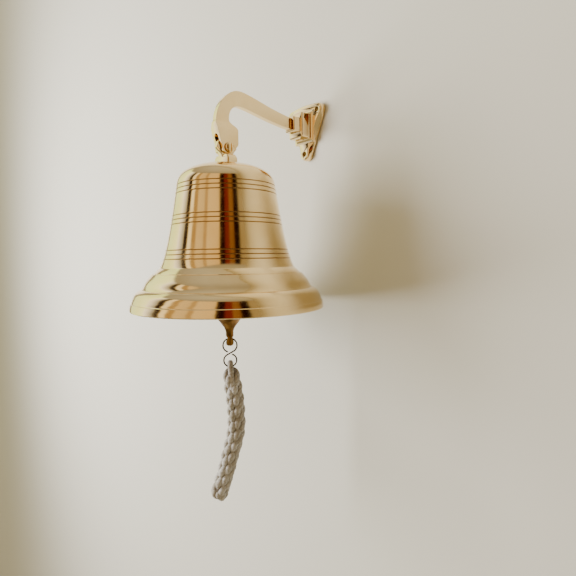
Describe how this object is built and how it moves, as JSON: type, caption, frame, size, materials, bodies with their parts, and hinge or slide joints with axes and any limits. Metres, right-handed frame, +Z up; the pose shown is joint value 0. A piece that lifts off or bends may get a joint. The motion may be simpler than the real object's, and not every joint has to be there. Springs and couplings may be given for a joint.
{
  "type": "ship bell",
  "caption": "Wall-mounted ship bell with a gooseneck bracket, a pivoting turned bell, a hanging clapper and a braided lanyard.",
  "frame": {"origin": "on the wall behind the plate, midway between the two upper screw holes", "axes": "+Y into the wall, the arm reaches out along -Y; +Z up; X along the pivot bolt"},
  "size_m": [0.178, 0.197, 0.3919],
  "materials": {
    "polished_brass": "cast and turned brass, mirror polished and lacquered",
    "cast_brass": "as-cast brass, dull brown and slightly rough",
    "dark_wire": "drawn wire with a dark bronze finish",
    "steel_screw": "zinc-plated steel",
    "cotton_cord": "natural cotton cord, matt, lightly soiled"
  },
  "bodies": {
    "bracket": {"wall_plate": "polished_brass", "arm_screw": "steel_screw", "bracket_arm": "polished_brass", "pivot_bolt": "polished_brass", "pivot_washer": "polished_brass", "pivot_nut": "polished_brass"},
    "bell": {"crown_lug": "polished_brass", "bell_shell": "polished_brass", "crown_washer": "cast_brass", "crown_nut": "cast_brass", "eye_bolt": "cast_brass"},
    "link": {"clapper_link": "cast_brass"},
    "striker": {"clapper": "cast_brass"},
    "hook": {"s_hook": "dark_wire"},
    "lanyard": {"lanyard_eye": "cotton_cord", "lanyard_braid": "cotton_cord"}
  },
  "joints": [
    {"name": "bell_swing", "type": "hinge", "parent": "bracket", "child": "bell", "pos_m": [0, -0.108, -0.0527], "axis": [1, 0, 0], "range_deg": [-30, 7]},
    {"name": "link_swing", "type": "hinge", "parent": "bell", "child": "link", "pos_m": [0, -0.108, -0.0929], "axis": [1, 0, 0], "range_deg": [-26, 26]},
    {"name": "clapper_swing", "type": "hinge", "parent": "link", "child": "striker", "pos_m": [0, -0.108, -0.1043], "axis": [0, 1, 0], "range_deg": [-8, 8]},
    {"name": "hook_swing", "type": "hinge", "parent": "striker", "child": "hook", "pos_m": [0, -0.108, -0.2296], "axis": [0.5736, 0.8192, 0], "range_deg": [-30, 30]},
    {"name": "lanyard_swing", "type": "hinge", "parent": "hook", "child": "lanyard", "pos_m": [0, -0.108, -0.2506], "axis": [0.8192, -0.5736, 0], "range_deg": [-25, 25]}
  ]
}
